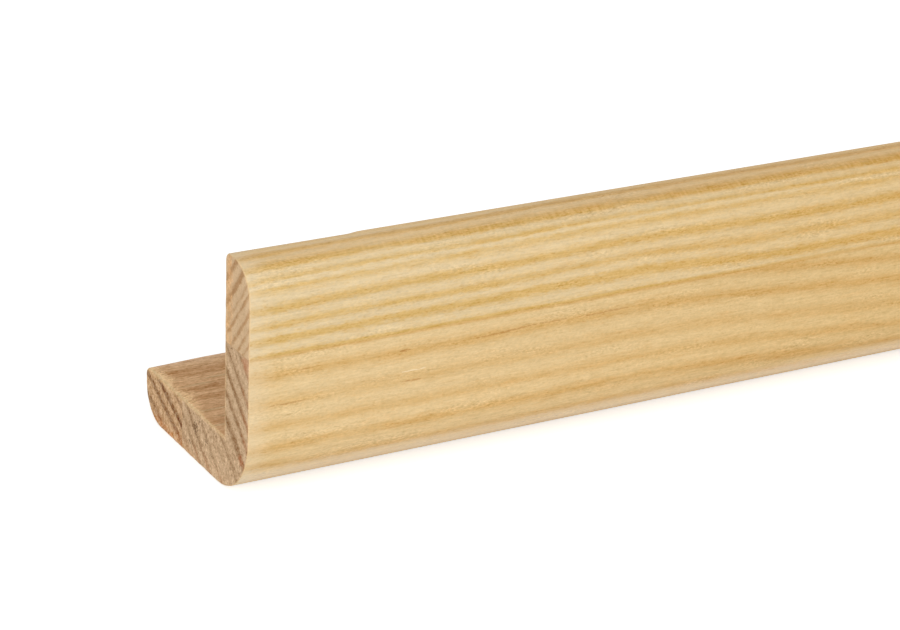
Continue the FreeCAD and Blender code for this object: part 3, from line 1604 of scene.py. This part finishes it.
class CornerGuard:
    """The whole moulding."""

    # How dark the wood is from one ring's latewood to the next ring's
    EVEN = (
        (0.0, 1.0), (0.08, 0.93), (0.16, 0.72), (0.25, 0.48), (0.33, 0.3), (0.42, 0.14), (0.5, 0.05),
        (0.58, 0.05), (0.67, 0.16), (0.76, 0.36), (0.84, 0.62), (0.92, 0.9), (1.0, 1.0),
    )
    SOFT = (
        (0.0, 1.0), (0.08, 0.94), (0.2, 0.6), (0.34, 0.2), (0.5, 0.0), (0.62, 0.05), (0.8, 0.45),
        (0.92, 0.92), (1.0, 1.0),
    )
    WIDE = (
        (0.0, 1.0), (0.14, 0.98), (0.28, 0.6), (0.42, 0.12), (0.55, 0.0), (0.7, 0.04), (0.84, 0.5),
        (0.92, 0.95), (1.0, 1.0),
    )
    RINGS = {
        Strip.UPRIGHT_LEG: GrowthRings(
            normal_degrees=41.0,
            seen=tuple(Ring(*ring) for ring in (
                (11.05, 1.1, 0.85), (12.32, 1.25, 0.8), (13.28, 0.9, 0.75), (14.52, 1.2, 0.85),
                (16.03, 0.8, 0.85), (16.8, 0.85, 0.6), (18.2, 1.15, 1.15), (20.15, 1.8, 1.35),
                (21.2, 0.15, 0.15),
            )),
            spacing_mm=1.5,
            reach_mm=(7.0, 26.0),
            seed=5,
            drifts=(
                Drift(0.42, -4.0, 20.0, 11.2, 13.6),
                Drift(0.38, 24.0, 48.0, 11.2, 13.6),
                Drift(-0.66, 46.0, 66.0, 17.2, 12.3),
                Drift(0.3, -0.2, 3.0, 15.5, 17.5),
                Drift(0.4, 22.0, 36.0, 19.0, 20.2),
            ),
            waves=(Wave(1.1, 390.0), Wave(0.4, 131.0)),
            fade=EVEN,
        ),
        Strip.CORNER: GrowthRings(
            normal_degrees=131.0,
            seen=tuple(Ring(*ring) for ring in (
                (-9.6, 0.7, 0.6), (-7.9, 0.75, 0.7), (-6.2, 0.9, 0.85), (-4.0, 0.7, 0.6),
                (-2.0, 0.6, 0.5), (-0.3, 0.35, 0.6), (2.72, 0.85, 1.1), (4.8, 0.95, 0.9),
                (6.74, 0.7, 1.0), (8.7, 0.6, 0.75), (11.15, 0.95, 0.75), (13.1, 0.9, 0.7),
            )),
            spacing_mm=2.1,
            reach_mm=(-15.0, 19.0),
            seed=11,
            drifts=(Drift(-3.0, 47.0, 98.0), Drift(-0.8, -2.0, 10.0, 4.6, 2.8)),
            waves=(Wave(1.6, 470.0), Wave(0.5, 160.0)),
            fade=SOFT,
        ),
        Strip.FLAT_LEG: GrowthRings(
            normal_degrees=116.0,
            seen=tuple(Ring(*ring) for ring in (
                (-9.35, 0.7, 0.7), (-7.05, 0.9, 0.85), (-5.35, 1.0, 1.05), (-3.3, 0.8, 0.6),
                (-1.8, 0.7, 0.7),
            )),
            spacing_mm=1.8,
            reach_mm=(-15.0, 5.0),
            seed=23,
            drifts=(Drift(0.4, -0.5, 3.0), Drift(-0.5, 10.0, 70.0)),
            waves=(Wave(1.0, 350.0), Wave(0.4, 120.0)),
            fade=WIDE,
        ),
    }
    FINISHES = (
        PineFinish(
            name="upright_leg_pine",
            tones=PineTones(
                earlywood=paint(224, 201, 159), latewood=paint(213, 177, 110), blush_and_falloff_shade=paint(247, 239, 222),
                end_earlywood=paint(223, 189, 148), end_latewood=paint(186, 143, 98),
                end_edge=paint(242, 187, 128), end_reddish=paint(196, 148, 98), frayed=paint(224, 202, 172),
            ),
            rings=RINGS[Strip.UPRIGHT_LEG],
            seed=3.0,
            face_speckle=1.2,
            end_stain=EndStain(
                faint=(15.0, 17.5), full=(4.1, 4.8), amount=0.6, ragged_mm=0.5, upright=True,
            ),
            end_speckle=0.35,
        ),
        PineFinish(
            name="corner_pine",
            tones=PineTones(
                earlywood=paint(225, 197, 148), latewood=paint(212, 173, 110), blush_and_falloff_shade=paint(244, 238, 222),
                end_earlywood=paint(211, 177, 139), end_latewood=paint(160, 122, 83),
                end_edge=paint(222, 168, 114),
            ),
            rings=RINGS[Strip.CORNER],
            seed=17.0,
            face_speckle=1.35,
            end_stain=EndStain(faint=(11.0, 15.0), full=(0.9, 0.3), amount=0.5),
            flecks=(
                Fleck(18.4, 14.9, 1.2, 0.3, 0.9),
                Fleck(31.0, 14.93, 9.0, 0.24, 0.55, 0.045),
                Fleck(36.8, 15.1, 4.0, 0.2, 0.4),
                Fleck(43.4, 15.05, 7.0, 0.26, 0.5, 0.015),
                Fleck(6.8, 14.95, 2.0, 0.2, 0.4),
                Fleck(19.4, 11.3, 2.6, 0.26, 0.6),
                Fleck(5.0, 11.4, 5.0, 0.22, 0.5),
                Fleck(19.5, 12.45, 3.0, 0.17, 0.55, 0.0, True),
            ),
            end_pits=((13.9, 3.9), (13.3, 4.1), (13.1, 3.1), (10.6, 3.5), (15.0, 1.6), (12.2, 5.3)),
            end_blots=((0.8, 16.3, 1.2), (1.9, 4.9, 0.8)),
        ),
        PineFinish(
            name="flat_leg_pine",
            tones=PineTones(
                earlywood=paint(225, 197, 151), latewood=paint(204, 158, 94), blush_and_falloff_shade=paint(244, 237, 222),
                end_earlywood=paint(214, 174, 131), end_latewood=paint(148, 107, 68),
                end_edge=paint(214, 142, 82),
            ),
            rings=RINGS[Strip.FLAT_LEG],
            seed=31.0,
            face_speckle=1.35,
            end_speckle=1.15,
            end_stain=EndStain(faint=(13.0, 16.0), full=(1.3, 0.3), amount=0.7, ragged_mm=1.7),
        ),
    )
    STRIPS = (Strip.UPRIGHT_LEG, Strip.CORNER, Strip.FLAT_LEG)

    def __init__(self, section: Section) -> None:
        """Sets out the three strips."""
        pairs = zip(self.STRIPS, self.FINISHES)
        self.strips = [GluedStrip(strip, section, finish) for strip, finish in pairs]

    def build(self) -> None:
        """Builds and dresses each strip, and reports it."""
        slots = {row["node"]: row["material_slot"] for row in frame["record"]["subparts"]}
        for strip in self.strips:
            strip.build()
            strip.dress(slots[strip.strip.value])
            LOG.info("%s: %d faces", strip.piece.name, len(strip.piece.data.polygons))


@dataclass(frozen=True)
class SoftLamp:
    """A large square lamp that looks at a place."""

    name: str
    place: Point3
    target: Point3
    width: float
    watts: float
    colour: Colour = (1.0, 1.0, 1.0)

    def build(self) -> None:
        """Hangs the lamp."""
        data = bpy.data.lights.new(self.name, "AREA")
        data.shape = "SQUARE"
        data.size = self.width
        data.energy = self.watts
        data.color = self.colour
        lamp = bpy.data.objects.new(self.name, data)
        lamp.location = self.place
        lamp.rotation_mode = "QUATERNION"
        lamp.rotation_quaternion = (Vector(self.target) - Vector(self.place)).to_track_quat("-Z", "Y")
        bpy.context.scene.collection.objects.link(lamp)


@dataclass(frozen=True)
class PhotoCamera:
    """The photograph's point of view, with angles in degrees.

    Its place is measured from the outer corner's near end, and the azimuth from +Y towards +X.
    """

    from_corner_mm: Point3 = (-114.23, -247.78, 134.55)
    azimuth: float = 29.1
    elevation: float = 22.335
    roll: float = 1.591
    lens_mm: float = 115.45
    nearest: float = 0.01

    def build(self, section: Section) -> None:
        """Sets up the scene's camera.

        Args:
            section: The stock's sizes, which place its near end.
        """
        data = bpy.data.cameras.new("photo_camera")
        data.lens = self.lens_mm
        data.clip_start = self.nearest
        camera = bpy.data.objects.new("photo_camera", data)
        corner = Vector((-section.length / 2, -section.leg_width / 2, 0.0))
        camera.location = corner + Vector(self.from_corner_mm) * MM
        turn, tilt = math.radians(self.azimuth), math.radians(self.elevation)
        aim = Vector((math.sin(turn) * math.cos(tilt), math.cos(turn) * math.cos(tilt), -math.sin(tilt)))
        camera.rotation_mode = "QUATERNION"
        rolled = Quaternion((0.0, 0.0, 1.0), math.radians(self.roll))
        camera.rotation_quaternion = aim.to_track_quat("-Z", "Y") @ rolled
        bpy.context.scene.collection.objects.link(camera)
        bpy.context.scene.camera = camera


class Studio:
    """A plain pale floor, soft lamps and the camera."""

    FLOOR_HALF_WIDTH = 6.0
    FLOOR_DROP = 0.02 * MM
    FLOOR_TONE = paint(232, 232, 230)
    FLOOR_GLOW = 0.6
    SKY_STRENGTH = 0.504
    LAMPS = (
        SoftLamp("key_lamp", (-0.3, -1.9, 0.75), (-0.2, 0.0, 0.0), 1.4, 20.6),
        SoftLamp("fill_lamp", (-2.3, -0.5, 0.6), (-0.4, 0.0, 0.0), 1.1, 12.0),
    )

    def build(self, section: Section) -> None:
        """Builds the floor, the light and the camera.

        Args:
            section: The stock's sizes.
        """
        self.build_floor()
        self.build_sky()
        for lamp in self.LAMPS:
            lamp.build()
        PhotoCamera().build(section)
        bpy.context.scene.view_settings.view_transform = "Standard"

    def build_floor(self) -> None:
        """Lays the floor, which shows white where no shadow falls on it."""
        reach = self.FLOOR_HALF_WIDTH
        mesh = bpy.data.meshes.new("floor")
        corners = [(-reach, -reach), (reach, -reach), (reach, reach), (-reach, reach)]
        mesh.from_pydata([(x, y, -self.FLOOR_DROP) for x, y in corners], [], [(0, 1, 2, 3)])
        floor = bpy.data.objects.new("floor", mesh)
        bpy.context.scene.collection.objects.link(floor)
        sheet = NodeSheet("pale_floor")
        matt = sheet.add("ShaderNodeBsdfDiffuse")
        sheet.feed(matt.inputs["Color"], self.FLOOR_TONE)
        glow = sheet.add("ShaderNodeEmission")
        ray = sheet.add("ShaderNodeLightPath")
        seen = Signal(sheet, ray.outputs["Is Camera Ray"])
        seen = seen.at_least(Signal(sheet, ray.outputs["Is Glossy Ray"]))
        sheet.feed(glow.inputs["Strength"], seen * self.FLOOR_GLOW)
        both = sheet.add("ShaderNodeAddShader")
        sheet.feed(both.inputs[0], matt.outputs[0])
        sheet.feed(both.inputs[1], glow.outputs[0])
        output = sheet.add("ShaderNodeOutputMaterial")
        sheet.feed(output.inputs["Surface"], both.outputs[0])
        mesh.materials.append(sheet.material)

    def build_sky(self) -> None:
        """Surrounds the scene with soft white, which the camera sees as plain white."""
        world = bpy.data.worlds.new("studio_white")
        bpy.context.scene.world = world
        world.use_nodes = True
        nodes, links = world.node_tree.nodes, world.node_tree.links
        nodes.clear()
        ray = nodes.new("ShaderNodeLightPath")
        seen = nodes.new("ShaderNodeMath")
        seen.operation = "MAXIMUM"
        links.new(ray.outputs["Is Camera Ray"], seen.inputs[0])
        links.new(ray.outputs["Is Glossy Ray"], seen.inputs[1])
        strength = nodes.new("ShaderNodeMapRange")
        links.new(seen.outputs[0], strength.inputs["Value"])
        strength.inputs["To Min"].default_value = self.SKY_STRENGTH
        strength.inputs["To Max"].default_value = 1.0
        background = nodes.new("ShaderNodeBackground")
        background.inputs["Color"].default_value = (1.0, 1.0, 1.0, 1.0)
        links.new(strength.outputs["Result"], background.inputs["Strength"])
        output = nodes.new("ShaderNodeOutputWorld")
        links.new(background.outputs[0], output.inputs["Surface"])


def main() -> None:
    """Builds the studio and the moulding."""
    logging.basicConfig(level=logging.INFO, format="%(name)s: %(message)s")
    section = Section.from_frame()
    Studio().build(section)
    CornerGuard(section).build()


if __name__ == "__main__":
    main()
